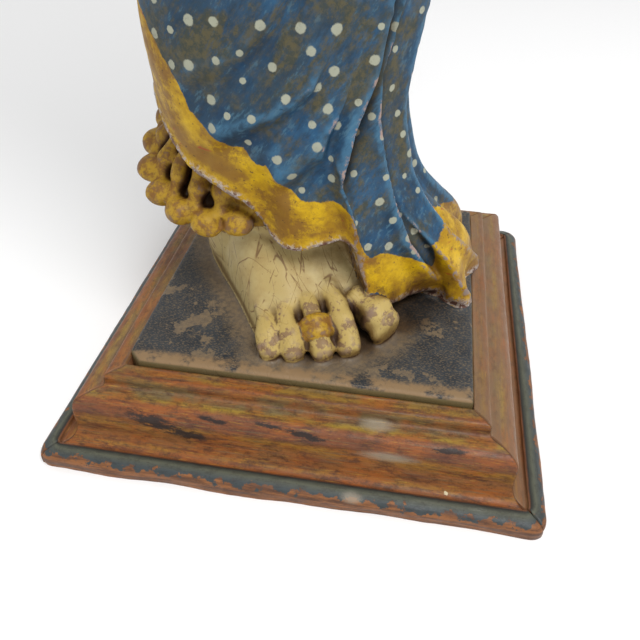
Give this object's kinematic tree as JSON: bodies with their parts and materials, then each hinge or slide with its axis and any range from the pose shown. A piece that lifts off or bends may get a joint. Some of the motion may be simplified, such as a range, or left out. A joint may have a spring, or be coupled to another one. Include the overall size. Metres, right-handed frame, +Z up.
{
  "type": "carved wooden attendant statue",
  "caption": "Painted, carved wooden attendant figure in a dotted robe with joined hands, standing on a square moulded plinth.",
  "frame": {"origin": "on the floor under the middle of the square plinth", "axes": "+Z up, the figure faces -Y, +X towards the figure's left hand"},
  "size_m": [0.2636, 0.2636, 1.0156],
  "materials": {
    "painted_wood": "worn paint",
    "moulding_wood": "worn varnished paint"
  },
  "bodies": {
    "root": {"carved_figure": "painted_wood", "plinth_moulding_front": "moulding_wood", "plinth_moulding_right": "moulding_wood", "plinth_moulding_back": "moulding_wood", "plinth_moulding_left": "moulding_wood"}
  },
  "joints": []
}
